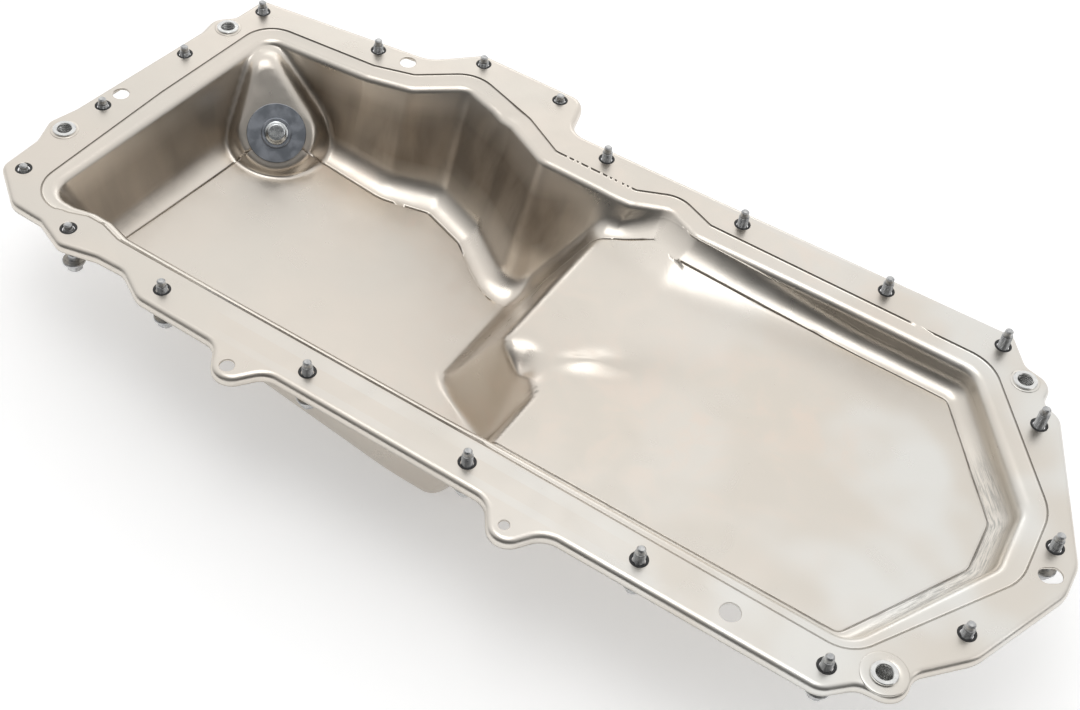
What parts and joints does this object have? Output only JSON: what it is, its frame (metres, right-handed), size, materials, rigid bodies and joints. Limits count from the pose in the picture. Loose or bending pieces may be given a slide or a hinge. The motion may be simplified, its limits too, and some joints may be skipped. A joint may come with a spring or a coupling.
{
  "type": "engine oil pan",
  "caption": "Pressed sheet-metal engine oil pan with a deep sump, a shallow shelf, a screw flange with captive screws, threaded inserts and a drain plug.",
  "frame": {"origin": "centre of the locating hole in the left ear, on the flange's top face", "axes": "+Z out of the flange's top face towards the engine, +X along the straight wall from the sump to the shallow end, +Y from the straight wall to the bulged wall"},
  "size_m": [0.6015, 0.2983, 0.0966],
  "materials": {
    "sheet": "satin",
    "ring": "matte",
    "washer": "satin",
    "fastener": "satin",
    "insert": "satin",
    "seal": "matte"
  },
  "bodies": {
    "pan": {"pan_shell": "sheet", "screw_retainers": "ring", "drain_nut": "washer", "drain_plug": "fastener", "drain_seal": "seal", "insert_1": "insert", "insert_2": "insert", "insert_3": "insert", "insert_4": "insert"},
    "screw_01_body": {"screw_01": "fastener"},
    "screw_02_body": {"screw_02": "fastener"},
    "screw_03_body": {"screw_03": "fastener"},
    "screw_04_body": {"screw_04": "fastener"},
    "screw_05_body": {"screw_05": "fastener"},
    "screw_06_body": {"screw_06": "fastener"},
    "screw_07_body": {"screw_07": "fastener"},
    "screw_08_body": {"screw_08": "fastener"},
    "screw_09_body": {"screw_09": "fastener"},
    "screw_10_body": {"screw_10": "fastener"},
    "screw_11_body": {"screw_11": "fastener"},
    "screw_12_body": {"screw_12": "fastener"},
    "screw_13_body": {"screw_13": "fastener"},
    "screw_14_body": {"screw_14": "fastener"},
    "screw_15_body": {"screw_15": "fastener"},
    "screw_16_body": {"screw_16": "fastener"},
    "screw_17_body": {"screw_17": "fastener"},
    "screw_18_body": {"screw_18": "fastener"},
    "screw_19_body": {"screw_19": "fastener"},
    "screw_20_body": {"screw_20": "fastener"}
  },
  "joints": [
    {"name": "screw_01_slide", "type": "slide", "parent": "pan", "child": "screw_01_body", "axis": [0, 0, 1], "range_m": [-0.0005, 0.0217]},
    {"name": "screw_02_slide", "type": "slide", "parent": "pan", "child": "screw_02_body", "axis": [0, 0, 1], "range_m": [-0.001, 0.0212]},
    {"name": "screw_03_slide", "type": "slide", "parent": "pan", "child": "screw_03_body", "axis": [0, 0, 1], "range_m": [-0.0045, 0.0177]},
    {"name": "screw_04_slide", "type": "slide", "parent": "pan", "child": "screw_04_body", "axis": [0, 0, 1], "range_m": [-0.0055, 0.0167]},
    {"name": "screw_05_slide", "type": "slide", "parent": "pan", "child": "screw_05_body", "axis": [0, 0, 1], "range_m": [-0.007, 0.0152]},
    {"name": "screw_06_slide", "type": "slide", "parent": "pan", "child": "screw_06_body", "axis": [0, 0, 1], "range_m": [-0.007, 0.0152]},
    {"name": "screw_07_slide", "type": "slide", "parent": "pan", "child": "screw_07_body", "axis": [0, 0, 1], "range_m": [-0.006, 0.0162]},
    {"name": "screw_08_slide", "type": "slide", "parent": "pan", "child": "screw_08_body", "axis": [0, 0, 1], "range_m": [-0.006, 0.0162]},
    {"name": "screw_09_slide", "type": "slide", "parent": "pan", "child": "screw_09_body", "axis": [0, 0, 1], "range_m": [-0.008, 0.0142]},
    {"name": "screw_10_slide", "type": "slide", "parent": "pan", "child": "screw_10_body", "axis": [0, 0, 1], "range_m": [-0.011, 0.0112]},
    {"name": "screw_11_slide", "type": "slide", "parent": "pan", "child": "screw_11_body", "axis": [0, 0, 1], "range_m": [-0.01, 0.0122]},
    {"name": "screw_12_slide", "type": "slide", "parent": "pan", "child": "screw_12_body", "axis": [0, 0, 1], "range_m": [-0.008, 0.0142]},
    {"name": "screw_13_slide", "type": "slide", "parent": "pan", "child": "screw_13_body", "axis": [0, 0, 1], "range_m": [-0.008, 0.0142]},
    {"name": "screw_14_slide", "type": "slide", "parent": "pan", "child": "screw_14_body", "axis": [0, 0, 1], "range_m": [-0.007, 0.0152]},
    {"name": "screw_15_slide", "type": "slide", "parent": "pan", "child": "screw_15_body", "axis": [0, 0, 1], "range_m": [-0.002, 0.0202]},
    {"name": "screw_16_slide", "type": "slide", "parent": "pan", "child": "screw_16_body", "axis": [0, 0, 1], "range_m": [-0.0035, 0.0187]},
    {"name": "screw_17_slide", "type": "slide", "parent": "pan", "child": "screw_17_body", "axis": [0, 0, 1], "range_m": [-0.0056, 0.0166]},
    {"name": "screw_18_slide", "type": "slide", "parent": "pan", "child": "screw_18_body", "axis": [0, 0, 1], "range_m": [-0.0055, 0.0167]},
    {"name": "screw_19_slide", "type": "slide", "parent": "pan", "child": "screw_19_body", "axis": [0, 0, 1], "range_m": [-0.0035, 0.0187]},
    {"name": "screw_20_slide", "type": "slide", "parent": "pan", "child": "screw_20_body", "axis": [0, 0, 1], "range_m": [-0.003, 0.0192]}
  ]
}
